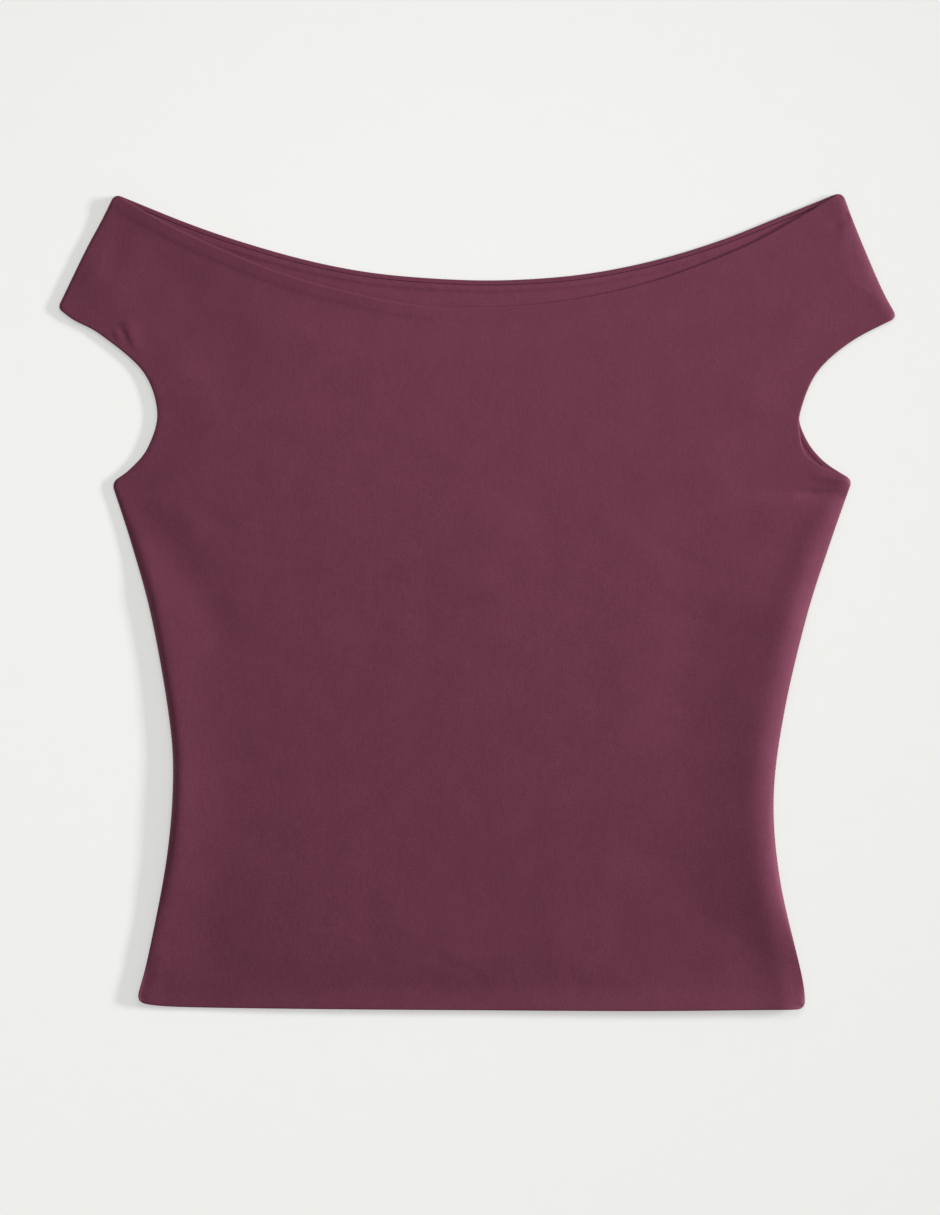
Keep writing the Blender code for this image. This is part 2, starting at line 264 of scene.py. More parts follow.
def inner_points(rim: Places, spacing: float, margin: float) -> Places:
    """Fills a rim with points in staggered rows.

    Args:
        rim: The rim.
        spacing: Distance between points.
        margin: How far the points stay from the rim.

    Returns:
        The points.
    """
    low, high = rim.min(axis=0), rim.max(axis=0)
    row_height = spacing * math.sqrt(0.75)
    rows = []
    for row, y in enumerate(np.arange(low[1], high[1], row_height)):
        x = np.arange(low[0] + (row % 2) * spacing / 2, high[0], spacing)
        rows.append(np.column_stack([x, np.full(len(x), y)]))
    places = np.vstack(rows)
    places = places[is_inside(places, rim)]
    return places[distance_to(places, closed(rim)) > margin]


def triangulate(rim: Places, rings: Sequence[float], spacing: float) -> tuple[Places, list[list[int]]]:
    """Covers the plan inside a rim with triangles.

    Args:
        rim: The rim.
        rings: Distances from the rim at which rings of points run along it.
        spacing: Distance between the points inside the last ring.

    Returns:
        The places after the rim's own, and the triangles, whose numbers count the rim's points first.
    """
    groups = [rim] + [inset(rim, distance) for distance in rings]
    joins = []
    first = 0
    for group in groups:
        numbers = np.arange(first, first + len(group))
        joins.extend(zip(numbers.tolist(), np.roll(numbers, -1).tolist()))
        first += len(group)
    groups.append(inner_points(rim, spacing, rings[-1] + spacing / 2))
    places = np.vstack(groups) / MM
    found = delaunay_2d_cdt([Vector(place) for place in places.tolist()], joins, [], INSIDE_ONLY, MERGE_WITHIN)
    spots, triangles, sources = found[0], found[2], found[3]
    number = {}
    extra = []
    for spot, source in enumerate(sources):
        if source and source[0] < len(rim):
            number[spot] = source[0]
        else:
            number[spot] = len(rim) + len(extra)
            extra.append(tuple(spots[spot]))
    return np.array(extra) * MM, [[number[spot] for spot in triangle] for triangle in triangles]


# Profiles

def quarter(distance: np.ndarray, width: float | np.ndarray) -> np.ndarray:
    """Gives a quarter round.

    Args:
        distance: Distances from where it starts.
        width: Its width.

    Returns:
        0 at the start, upright there, and 1 and level from the width on.
    """
    share = np.clip(distance / width, 0.0, 1.0)
    return np.sqrt(1.0 - (1.0 - share) ** 2)


def ease(distance: np.ndarray, start: float, end: float) -> np.ndarray:
    """Gives a soft step.

    Args:
        distance: Distances.
        start: Where it leaves 0.
        end: Where it reaches 1.

    Returns:
        The step's height at each distance.
    """
    share = np.clip((distance - start) / (end - start), 0.0, 1.0)
    return share * share * (3.0 - 2.0 * share)


def bump(distance: np.ndarray, spread: float | np.ndarray) -> np.ndarray:
    """Gives a bell of height 1, which a spread away from its middle has fallen to about a third."""
    return np.exp(-(distance / spread) ** 2)


# Outlines of the two panels

class Join(Enum):
    """How an edge of a panel is finished."""

    SEWN = "sewn to the other panel"
    TURNED = "turned in, with the lining behind it"


@dataclass(frozen=True)
class Edge:
    """An edge of a panel, and how far the rounding of the corner at its end reaches back along it."""

    name: str
    join: Join
    points: Sequence[Pair]
    corner_reach: float


@dataclass(frozen=True)
class Cut:
    """The edges of a panel that differ from the other panel's."""

    neck: Sequence[Pair]
    cuff_left: Sequence[Pair]
    hem: Sequence[Pair]
    cuff_right: Sequence[Pair]


# Points in millimetres from the centre line and mid height. Each edge runs counter-clockwise, with the cloth on
# its left, and starts where the edge before it ends.
OVERARM_LEFT = ((-191.8, 217.0), (-198.8, 202.7), (-207.3, 186.8), (-222.0, 156.4))
SIDE_LEFT = ((-193.4, 63.8), (-182.8, 31.0), (-172.4, -7.2), (-163.3, -58.0), (-160.8, -92.0), (-164.0, -134.4),
             (-173.5, -185.2), (-180.4, -211.8))
SIDE_RIGHT = ((174.4, -215.4), (172.6, -198.0), (161.0, -147.1), (157.6, -103.0), (163.2, -58.0), (175.1, -7.2),
              (187.3, 31.0), (199.3, 65.2))
OVERARM_RIGHT = ((223.2, 151.4), (215.9, 164.6), (207.5, 183.6), (199.7, 202.7), (194.0, 218.2))

FRONT_CUT = Cut(
    neck=((194.0, 218.2), (171.7, 204.9), (139.9, 188.0), (92.2, 170.2), (44.5, 160.0), (-3.0, 156.9),
          (-40.3, 159.4), (-93.3, 171.8), (-135.7, 187.9), (-167.5, 203.1), (-191.8, 217.0)),
    cuff_left=((-222.0, 156.4), (-213.6, 150.0), (-199.0, 142.0), (-176.8, 122.7), (-169.2, 101.0),
               (-174.2, 82.4), (-183.6, 71.0), (-193.4, 63.8)),
    hem=((-180.4, -211.8), (-160.0, -214.1), (-100.0, -215.1), (-10.0, -215.8), (90.0, -216.2), (174.4, -215.4)),
    cuff_right=((199.3, 65.2), (176.8, 76.8), (171.4, 91.0), (172.5, 104.0), (181.2, 123.0), (199.2, 138.8),
                (223.2, 151.4)),
)
BACK_CUT = Cut(
    neck=((194.0, 218.2), (163.2, 205.7), (129.3, 192.2), (95.4, 181.9), (61.5, 175.0), (27.6, 171.7),
          (-6.4, 171.3), (-48.8, 174.3), (-82.7, 180.1), (-116.6, 189.1), (-150.5, 200.4), (-191.8, 217.0)),
    cuff_left=((-222.0, 156.4), (-213.0, 150.7), (-198.2, 143.0), (-175.6, 123.2), (-168.0, 101.0),
               (-173.2, 81.6), (-182.8, 70.2), (-193.4, 63.8)),
    hem=((-180.4, -211.8), (-160.0, -212.8), (-100.0, -214.1), (-10.0, -214.8), (90.0, -215.2), (174.4, -215.4)),
    cuff_right=((199.3, 65.2), (184.1, 75.3), (174.6, 87.6), (171.4, 102.0), (180.0, 123.6), (198.6, 140.0),
                (223.2, 151.4)),
)


class Outline:
    """The plan of a panel: its closed rim, and the lines of its sewn and its turned edges."""

    CORNER_STEPS: ClassVar[int] = 8

    def __init__(self, cut: Cut, step: float) -> None:
        """Draws the rim.

        Args:
            cut: The panel's own edges.
            step: Distance between the rim's points.
        """
        edges = (
            Edge("neck", Join.TURNED, cut.neck, 4.0 * MM),
            Edge("overarm_left", Join.SEWN, OVERARM_LEFT, 3.0 * MM),
            Edge("cuff_left", Join.TURNED, cut.cuff_left, 4.0 * MM),
            Edge("side_left", Join.SEWN, SIDE_LEFT, 6.0 * MM),
            Edge("hem", Join.TURNED, cut.hem, 5.0 * MM),
            Edge("side_right", Join.SEWN, SIDE_RIGHT, 3.5 * MM),
            Edge("cuff_right", Join.TURNED, cut.cuff_right, 4.0 * MM),
            Edge("overarm_right", Join.SEWN, OVERARM_RIGHT, 5.0 * MM),
        )
        curves = []
        for edge, before in zip(edges, edges[-1:] + edges[:-1]):
            curves.append(resample(catmull_rom(edge.points), before.corner_reach, edge.corner_reach, step))
        corners = []
        for edge, curve, after in zip(edges, curves, curves[1:] + curves[:1]):
            corners.append(bezier(curve[-1], placed(edge.points[-1:])[0], after[0], self.CORNER_STEPS))
        half = self.CORNER_STEPS // 2
        self.lines: dict[str, Places] = {}
        self.sewn: list[Places] = []
        self.turned: list[Places] = []
        rim = []
        for edge, curve, corner, before in zip(edges, curves, corners, corners[-1:] + corners[:-1]):
            line = np.vstack([before[half:-1], curve, corner[1:half + 1]])
            self.lines[edge.name] = line
            (self.sewn if edge.join is Join.SEWN else self.turned).append(line)
            rim.extend([curve, corner[1:-1]])
        self.rim: Places = np.vstack(rim)

    def size(self) -> Pair:
        """Gives the outline's width and length."""
        return tuple(float(side) for side in np.ptp(self.rim, axis=0))

    def area(self) -> float:
        """Gives the area inside the rim."""
        after = np.roll(self.rim, -1, axis=0)
        return float(abs((self.rim[:, 0] * after[:, 1] - self.rim[:, 1] * after[:, 0]).sum()) / 2)


# Finishes

def linear(colour: str) -> tuple[float, float, float, float]:
    """Turns an sRGB hex colour to linear.

    Args:
        colour: Six hex digits after a #.

    Returns:
        Linear red, green, blue and an alpha of 1.
    """
    values = [int(colour[at:at + 2], 16) / 255 for at in (1, 3, 5)]
    red, green, blue = (v / 12.92 if v <= 0.04045 else ((v + 0.055) / 1.055) ** 2.4 for v in values)
    return red, green, blue, 1.0


def add_node(tree: bpy.types.NodeTree, kind: str, settings: dict | None = None,
             links: dict | None = None) -> bpy.types.Node:
    """Adds a node with its settings and links.

    Args:
        tree: The tree it goes into.
        kind: The node's type.
        settings: Attributes by name, and values of input sockets by name or number.
        links: Output sockets that feed its inputs, by the input's name or number.

    Returns:
        The node.
    """
    node = tree.nodes.new(kind)
    for name, value in (settings or {}).items():
        if isinstance(name, str) and hasattr(node, name):
            setattr(node, name, value)
        else:
            node.inputs[name].default_value = value
    for name, output in (links or {}).items():
        tree.links.new(output, node.inputs[name])
    return node


@dataclass(frozen=True)
class BrushedKnit:
    """Double-brushed jersey: knitted microfibre polyester with elastane, raised to a short even nap.

    The nap makes it matt, with a soft sheen of the cloth's own colour on slopes that face the light, and hides
    the stitches but for faint upright streaks along the wales.
    """

    name: str
    shade: str
    light: str
    glow: str
    roughness: float = 0.62
    gloss: float = 0.9
    nap: float = 0.1
    # Real tufts of nap are about 0.3 mm and real wales 0.6 mm apart, both finer than a pixel. They are drawn
    # two to three times as coarse, so that they show as the mottling in the photograph does.
    tuft_mm: float = 0.9
    wale_mm: float = 1.5
    wale_run_mm: float = 6.0
    # Broad faint clouds, where the nap lies a little differently
    cloud_mm: float = 16.0
    relief_mm: float = 0.07
    tuft_share: float = 0.75
    cloud_share: float = 0.2
    # The stretch of the mixed patterns over which the dye goes from its shade to its light
    dye_range: Pair = (0.41, 0.59)
    tuft_range: Pair = (0.3, 0.7)
    roughness_change: float = 0.05
    nap_roughness: float = 0.5

    WALE_NOISE: ClassVar[dict[str, float]] = {"Detail": 2.0, "Roughness": 0.5}
    TUFT_NOISE: ClassVar[dict[str, float]] = {"Detail": 3.0, "Roughness": 0.65}
    CLOUD_NOISE: ClassVar[dict[str, float]] = {"Detail": 3.0, "Roughness": 0.55}

    def material(self) -> bpy.types.Material:
        """Builds the node material.

        Returns:
            The material.
        """
        material = bpy.data.materials.new(self.name)
        material.use_nodes = True
        tree = material.node_tree
        shader = tree.nodes["Principled BSDF"]
        place = add_node(tree, "ShaderNodeTexCoord").outputs["Object"]
        across, along = 1.0 / (self.wale_mm * MM), 1.0 / (self.wale_run_mm * MM)
        upright = add_node(tree, "ShaderNodeMapping", {"Scale": (across, along, across)}, {"Vector": place})
        wales = add_node(tree, "ShaderNodeTexNoise", {"Scale": 1.0, **self.WALE_NOISE},
                         {"Vector": upright.outputs["Vector"]})
        tufts = add_node(tree, "ShaderNodeTexNoise", {"Scale": 1.0 / (self.tuft_mm * MM), **self.TUFT_NOISE},
                         {"Vector": place})
        clouds = add_node(tree, "ShaderNodeTexNoise", {"Scale": 1.0 / (self.cloud_mm * MM), **self.CLOUD_NOISE},
                          {"Vector": place})
        pile = add_node(tree, "ShaderNodeMath", {"operation": "MULTIPLY_ADD", 1: self.tuft_share},
                        {0: tufts.outputs["Fac"],
                         2: add_node(tree, "ShaderNodeMath", {"operation": "MULTIPLY", 1: 1.0 - self.tuft_share},
                                     {0: wales.outputs["Fac"]}).outputs[0]})
        tone = add_node(tree, "ShaderNodeMath", {"operation": "MULTIPLY_ADD", 1: self.cloud_share},
                        {0: clouds.outputs["Fac"],
                         2: add_node(tree, "ShaderNodeMath", {"operation": "MULTIPLY", 1: 1.0 - self.cloud_share},
                                     {0: pile.outputs[0]}).outputs[0]})
        spread = add_node(tree, "ShaderNodeMapRange",
                          {"From Min": self.dye_range[0], "From Max": self.dye_range[1]}, {"Value": tone.outputs[0]})
        dye = add_node(tree, "ShaderNodeMix", {"data_type": "RGBA", 6: linear(self.shade), 7: linear(self.light)},
                       {0: spread.outputs["Result"]})
        rough = add_node(tree, "ShaderNodeMapRange",
                         {"From Min": self.tuft_range[0], "From Max": self.tuft_range[1],
                          "To Min": self.roughness - self.roughness_change,
                          "To Max": self.roughness + self.roughness_change}, {"Value": tufts.outputs["Fac"]})
        raised = add_node(tree, "ShaderNodeBump", {"Strength": 1.0, "Distance": self.relief_mm * MM},
                          {"Height": pile.outputs[0]})
        shader.inputs["Specular IOR Level"].default_value = self.gloss
        shader.inputs["Specular Tint"].default_value = linear(self.glow)
        shader.inputs["Sheen Weight"].default_value = self.nap
        shader.inputs["Sheen Roughness"].default_value = self.nap_roughness
        shader.inputs["Sheen Tint"].default_value = linear(self.glow)
        tree.links.new(dye.outputs[2], shader.inputs["Base Color"])
        tree.links.new(rough.outputs["Result"], shader.inputs["Roughness"])
        tree.links.new(raised.outputs["Normal"], shader.inputs["Normal"])
        material.diffuse_color = linear(self.light)
        return material


@dataclass(frozen=True)
class SewingThread:
    """Spun polyester sewing thread, dyed to the cloth: a little smoother and darker, with the ply's twist."""

    name: str = "sewing_thread_spun_polyester"
    shade: str = "#4A2433"
    light: str = "#6A3849"
    ply_mm: float = 0.35
    # At scale 1 the wave repeats every third of a metre or so
    wave_run: float = 0.3
    waver: float = 1.5
    relief_mm: float = 0.03
    relief_strength: float = 0.6
    roughness: float = 0.5
    roughness_change: Pair = (-0.05, 0.1)

    def material(self) -> bpy.types.Material:
        """Builds the node material.

        Returns:
            The material.
        """
        material = bpy.data.materials.new(self.name)
        material.use_nodes = True
        tree = material.node_tree
        shader = tree.nodes["Principled BSDF"]
        place = add_node(tree, "ShaderNodeTexCoord").outputs["Object"]
        plies = add_node(tree, "ShaderNodeTexWave",
                         {"wave_type": "BANDS", "bands_direction": "DIAGONAL", "Distortion": self.waver,
                          "Scale": self.wave_run / (self.ply_mm * MM)}, {"Vector": place})
        dye = add_node(tree, "ShaderNodeMix", {"data_type": "RGBA", 6: linear(self.shade), 7: linear(self.light)},
                       {0: plies.outputs["Fac"]})
        least, most = (self.roughness + change for change in self.roughness_change)
        rough = add_node(tree, "ShaderNodeMapRange", {"To Min": least, "To Max": most},
                         {"Value": plies.outputs["Fac"]})
        twist = add_node(tree, "ShaderNodeBump",
                         {"Strength": self.relief_strength, "Distance": self.relief_mm * MM},
                         {"Height": plies.outputs["Fac"]})
        tree.links.new(dye.outputs[2], shader.inputs["Base Color"])
        tree.links.new(rough.outputs["Result"], shader.inputs["Roughness"])
        tree.links.new(twist.outputs["Normal"], shader.inputs["Normal"])
        return material


@dataclass(frozen=True)
class OpalBoard:
    """Opal acrylic board, sanded matt, with a faint painted glow as on a light table: shadows on it stay pale."""

    name: str = "opal_acrylic_board_painted_glow"
    shade: str = "#BCBCBA"
    light: str = "#BEBEBC"
    painted_glow_colour: str = "#FFFFFC"
    glow: float = 0.4
    # The painted glow is weaker toward the lamps, so that the board looks even: the change to a metre along
    # X and Y, and the distance from the middle at which it stops
    evened: Pair = (-0.18, -0.1)
    evened_reach: float = 0.36
    roughness: float = 0.95
    sanding_mm: float = 12.0

    def material(self) -> bpy.types.Material:
        """Builds the node material.

        Returns:
            The material.
        """
        material = bpy.data.materials.new(self.name)
        material.use_nodes = True
        tree = material.node_tree
        shader = tree.nodes["Principled BSDF"]
        place = add_node(tree, "ShaderNodeTexCoord").outputs["Object"]
        sanding = add_node(tree, "ShaderNodeTexNoise", {"Scale": 1.0 / (self.sanding_mm * MM), "Detail": 2.0},
                           {"Vector": place})
        acrylic = add_node(tree, "ShaderNodeMix", {"data_type": "RGBA", 6: linear(self.shade), 7: linear(self.light)},
                           {0: sanding.outputs["Fac"]})
        reach = (self.evened_reach,) * 3
        near = add_node(tree, "ShaderNodeVectorMath", {"operation": "MINIMUM", 1: reach}, {0: place})
        near = add_node(tree, "ShaderNodeVectorMath", {"operation": "MAXIMUM", 1: [-side for side in reach]},
                        {0: near.outputs["Vector"]})
        change = add_node(tree, "ShaderNodeVectorMath", {"operation": "DOT_PRODUCT", 1: (*self.evened, 0.0)},
                          {0: near.outputs["Vector"]})
        # Painted glow: the board's own emission lightens the shadows cast on it and evens out the lamps' falloff
        glow = add_node(tree, "ShaderNodeMath", {"operation": "ADD", 1: self.glow}, {0: change.outputs["Value"]})
        shader.inputs["Roughness"].default_value = self.roughness
        shader.inputs["Specular IOR Level"].default_value = 0.0
        shader.inputs["Emission Color"].default_value = linear(self.painted_glow_colour)
        tree.links.new(glow.outputs[0], shader.inputs["Emission Strength"])
        tree.links.new(acrylic.outputs[2], shader.inputs["Base Color"])
        return material


# Relief of the cloth

@dataclass(frozen=True)
class Fold:
    """A soft ridge, or a trough where the height is negative, along a bent line.

    All measures are in millimetres. The second spread is the one on the right of the line, where it differs, and
    the fades are the shares of the line over which the fold rises at its start and sinks at its end.
    """

    name: str
    start: Pair
    bend: Pair
    end: Pair
    spread: float
    height: float
    spread_right: float | None = None
    fades: Pair = (0.0, 0.0)

    STEPS: ClassVar[int] = 16
    REACH: ClassVar[float] = 3.0

    def relief(self, places: Places) -> Heights:
        """Gives the fold's height.

        Args:
            places: The places.

        Returns:
            Height in metres, over what the cloth would have without the fold.
        """
        left, right = self.spread * MM, (self.spread_right or self.spread) * MM
        line = bezier(*placed((self.start, self.bend, self.end)), self.STEPS)
        near = nearness(places, line, self.REACH * max(left, right))
        height = self.height * MM * bump(near.away, np.where(near.side > 0.0, left, right))
        if self.fades[0]:
            height = height * ease(near.along, 0.0, self.fades[0])
        if self.fades[1]:
            height = height * (1.0 - ease(near.along, 1.0 - self.fades[1], 1.0))
        return height


FOLDS = (
    Fold("left side trough", (-175.4, 51.7), (-157.6, 23.5), (-135.6, -14.1), 11.0, -0.65),
    Fold("left waist roll", (-171.9, 0.1), (-154.7, -71.6), (-162.6, -143.5), 18.0, 1.8),
    Fold("left hem hollow", (-160.7, -139.2), (-157.6, -178.1), (-140.7, -206.1), 22.5, -1.25),
    Fold("left hem swell", (-90.4, -140.6), (-86.8, -170.1), (-85.9, -200.9), 19.5, 0.25, None, (0.4, 0.4)),
    Fold("left chest trough", (-189.4, 182.7), (-139.8, 148.6), (-126.6, 95.0), 25.7, -1.45, None, (0.2, 0.35)),
    Fold("left neck ridge", (-179.1, 206.0), (-113.0, 163.4), (-31.3, 152.9), 10.0, 0.8, None, (0.15, 0.5)),
    Fold("left sleeve valley", (-189.0, 212.0), (-191.0, 190.0), (-196.0, 160.0), 8.5, -1.0, None, (0.0, 0.5)),
    Fold("left armhole swell", (-169.9, 108.2), (-167.0, 81.6), (-174.3, 57.2), 11.7, 1.0),
    Fold("left underarm crease", (-150.0, 50.3), (-137.2, 41.3), (-121.2, 36.7), 5.8, -0.25, None, (0.3, 0.4)),
    Fold("chest swell", (-15.1, -2.4), (0.0, 31.3), (20.9, 56.5), 25.8, 0.65, None, (0.3, 0.3)),
    Fold("belly swell", (81.9, 7.5), (81.4, -30.6), (86.7, -67.4), 14.0, 0.15, None, (0.3, 0.3)),
    Fold("right side trough", (128.1, 10.0), (105.4, -38.4), (108.4, -81.7), 18.3, -0.85, None, (0.25, 0.2)),
    Fold("right hem trough", (77.1, -115.5), (102.8, -157.1), (163.2, -196.8), 21.1, -1.15, None, (0.3, 0.0)),
    Fold("right waist roll", (162.7, -12.2), (138.0, -79.5), (155.1, -154.3), 21.3, 2.2),
    Fold("hem dimple", (49.2, -195.5), (53.2, -202.3), (53.9, -207.8), 5.0, -0.35),
    Fold("right sleeve ridge", (208.0, 176.1), (189.3, 158.2), (175.4, 149.7), 9.2, 0.35),
    Fold("right armhole trough", (151.7, 109.5), (152.4, 80.9), (154.3, 50.7), 22.4, -1.3, None, (0.4, 0.2)),
    Fold("right hem swell", (77.2, -178.3), (111.7, -193.8), (133.8, -200.0), 22.5, -1.25),
    Fold("low swell", (-39.6, -134.0), (-0.3, -162.2), (47.0, -179.8), 29.0, -0.45, None, (0.3, 0.3)),
    Fold("right breast swell", (123.2, 71.3), (119.8, 36.6), (96.0, 13.5), 25.6, -0.7, None, (0.3, 0.3)),
)

# Short sharp creases, which show in the outer surface only
CREASES = (
    Fold("left arm ridge", (-187.8, 151.5), (-184.8, 143.5), (-178.5, 131.0), 5.0, 0.65, 1.5, (0.3, 0.5)),
    Fold("left cuff crease", (-192.0, 146.0), (-190.6, 142.0), (-188.8, 138.0), 2.2, 0.4, 1.3, (0.4, 0.3)),
    Fold("hem crease", (-27.0, -186.5), (-11.0, -193.0), (10.0, -202.0), 3.2, -0.2, None, (0.3, 0.4)),
    Fold("right sleeve crease", (198.0, 206.0), (192.5, 202.5), (185.5, 197.5), 2.6, -0.6, 2.0, (0.1, 0.4)),
    Fold("right underarm crease", (196.0, 57.8), (186.0, 57.2), (166.0, 59.0), 3.0, -1.1, 1.5, (0.0, 0.45)),
    Fold("right underarm lip", (197.0, 65.5), (188.0, 65.0), (174.0, 69.5), 3.2, 0.75, None, (0.0, 0.5)),
)


@dataclass(frozen=True)
class SideRoll:
    """How the front rolls down to its seam on one side: measures near the arm and below it, in millimetres.

    The curl is the width over which the front comes up from the seam, and the crest and spread place the roll.
    The heights are given at distances from mid height, from the hem upward.
    """

    curl: Pair
    crest: Pair
    spread: Pair
    at: tuple[float, ...] = (-214.0, -180.0, -130.0, -80.0, -30.0, 20.0, 62.0, 100.0)
    heights: tuple[float, ...] = ()

    BELOW_ARM: ClassVar[Pair] = (30.0 * MM, 70.0 * MM)

    def measures(self, places: Places) -> tuple[np.ndarray, np.ndarray, np.ndarray, np.ndarray]:
        """Gives the roll's measures at places.

        Args:
            places: The places.

        Returns:
            Curl, crest, spread and height, in metres.
        """
        below = 1.0 - ease(places[:, 1], *self.BELOW_ARM)
        pairs = (self.curl, self.crest, self.spread)
        curl, crest, spread = ((near + (low - near) * below) * MM for near, low in pairs)
        return curl, crest, spread, np.interp(places[:, 1] / MM, self.at, self.heights) * MM


@dataclass(frozen=True)
class Rise:
    """How the front stands up toward one of its edges, in millimetres.

    The width is how far it reaches from the edge, and the power how soon it levels out. Across gives where along
    X it starts and where it is whole.
    """

    height: float
    width: float
    power: float
    across: Pair

    def relief(self, places: Places, from_edge: np.ndarray) -> Heights:
        """Gives the rise.

        Args:
            places: The places.
            from_edge: Their distances from the edge.

        Returns:
            Height in metres.
        """
        share = np.clip(1.0 - from_edge / (self.width * MM), 0.0, 1.0) ** self.power
        return self.height * MM * share * ease(places[:, 0], *in_metres(*self.across))


@dataclass(frozen=True)
class Waviness:
    """The slight unevenness of cloth smoothed out by hand: many faint crossing waves, drawn from a fixed seed."""

    height: float
    shortest: float
    longest: float
    seed: int
    count: int = 40

    def relief(self, places: Places) -> Heights:
        """Gives the waves' height.

        Args:
            places: The places.

        Returns:
            Height in metres, about as often above 0 as below.
        """
        draw = np.random.default_rng(self.seed)
        total = np.zeros(len(places))
        for _ in range(self.count):
            turn, phase = draw.uniform(0.0, 2.0 * math.pi, 2)
            length = draw.uniform(self.shortest, self.longest)
            total += np.sin((places @ (math.cos(turn), math.sin(turn))) * 2.0 * math.pi / length + phase)
        return self.height * total / math.sqrt(self.count / 2.0)


@dataclass(frozen=True)
class Layers:
    """Heights that the three layers share, from the surface below upward."""

    back_wall: float = 0.7 * MM
    lining_wall: float = 0.6 * MM
    front_wall: float = 1.0 * MM
    gap: float = 0.15 * MM
    seam: float = 1.4 * MM
    # The left seam stands up more and more toward the hem
    seam_lift: float = 2.7 * MM
    lift_along: Pair = (-200.0 * MM, 50.0 * MM)
    lift_across: Pair = (-170.0 * MM, -60.0 * MM)
    # The right seam stands up a little from the waist down
    right_lift: float = 1.0 * MM
    right_lift_along: Pair = (-70.0 * MM, 40.0 * MM)
    right_lift_across: Pair = (60.0 * MM, 150.0 * MM)
    back_curl: float = 7.0 * MM
    lip_height: float = 1.5 * MM

    @property
    def lining_rest(self) -> float:
        """Height of the lining's underside over the flat back."""
        return self.back_wall + self.gap

    @property
    def front_rest(self) -> float:
        """Height of the front's underside where it lies on the flat lining."""
        return self.lining_rest + self.lining_wall + self.gap

    def toward_left_hem(self, places: Places) -> np.ndarray:
        """Gives 1 at the left hem corner, where the seam stands highest, and 0 at the underarm and the middle."""
        return (1.0 - ease(places[:, 1], *self.lift_along)) * (1.0 - ease(places[:, 0], *self.lift_across))

    def seam_height(self, places: Places) -> Heights:
        """Gives the height at which the back's rim ends under the front's."""
        right = (1.0 - ease(places[:, 1], *self.right_lift_along)) * ease(places[:, 0], *self.right_lift_across)
        return self.seam + self.seam_lift * self.toward_left_hem(places) + self.right_lift * right

    def back_inside(self, places: Places, outline: Outline) -> Heights:
        """Gives the back's inner surface.

        Args:
            places: The places.
            outline: The back's outline.

        Returns:
            Its height without the lip that is turned in along the free edges.
        """
        rim = self.seam_height(places)
        from_seam = distance_to(places, outline.sewn)
        return rim + (self.back_wall - rim) * quarter(from_seam - self.back_wall, self.back_curl - self.back_wall)


LAYERS = Layers()


# The cloth pieces

@dataclass
class ClothPiece:
    """A closed wall of cloth over a plan, with a height function for each of its two surfaces."""

    name: str
    node: str
    slot: str
    finish: BrushedKnit
    outline: Outline
    rests_on: tuple[str, ...] = ()
    top_rings: tuple[float, ...] = ()
    top_spacing: float = 8.0 * MM
    under_rings: tuple[float, ...] = ()
    under_spacing: float = 8.0 * MM

    def rim(self) -> Places:
        """Gives the piece's own rim."""
        return self.outline.rim

    def surfaces(self, places: Places) -> tuple[Heights, Heights]:
        """Gives the heights of the upper and of the lower surface."""
        raise NotImplementedError

    def build(self) -> bpy.types.Object:
        """Returns:
            The finished object.
        """
        rim = self.rim()
        mesh = bmesh.new()
        rim_heights = self.surfaces(rim)[0]
        rim_verts = [mesh.verts.new((x, y, z)) for (x, y), z in zip(rim, rim_heights)]
        plans = [triangulate(rim, self.top_rings, self.top_spacing),
                 triangulate(rim, self.under_rings, self.under_spacing)]
        # A triangle between three points of the rim has no thickness where both surfaces hold it
        thin = set.intersection(*({frozenset(triangle) for triangle in triangles if max(triangle) < len(rim)}
                                  for _, triangles in plans))
        for side, (places, triangles) in enumerate(plans):
            heights = self.surfaces(places)[side]
            verts = rim_verts + [mesh.verts.new((x, y, z)) for (x, y), z in zip(places, heights)]
            for triangle in triangles:
                if frozenset(triangle) in thin:
                    continue
                corners = [verts[number] for number in triangle]
                mesh.faces.new(corners if side == 0 else corners[::-1])
        loose = [vert for vert in mesh.verts if not vert.link_faces]
        bmesh.ops.delete(mesh, geom=loose, context="VERTS")
        data = bpy.data.meshes.new(self.name)
        mesh.to_mesh(data)
        mesh.free()
        data.shade_smooth()
        data.materials.append(self.finish.material())
        piece = bpy.data.objects.new(self.name, data)
        bpy.context.collection.objects.link(piece)
        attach(piece, ROOT_BODY)
        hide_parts(self.node)
        self.outline.size()
        self.outline.area()
        LOG.info("%s: %d triangles, cut %.0f by %.0f mm, %.4f square metres", self.name, len(data.polygons),
                 *(side / MM for side in self.outline.size()), self.outline.area())
        return piece


def rounded_rim(top: Heights, under: Heights, from_edge: np.ndarray, top_width: float,
                under_width: float) -> tuple[Heights, Heights]:
    """Brings both surfaces of a wall together along its turned edges.

    Args:
        top: Upper surface.
        under: Lower surface.
        from_edge: Distance from the turned edges.
        top_width: Width of the upper rounding.
        under_width: Width of the lower rounding.

    Returns:
        Both surfaces, which meet midway at the edge.
    """
    middle = (top + under) / 2
    return (middle + (top - middle) * quarter(from_edge, top_width),
            middle + (under - middle) * quarter(from_edge, under_width))


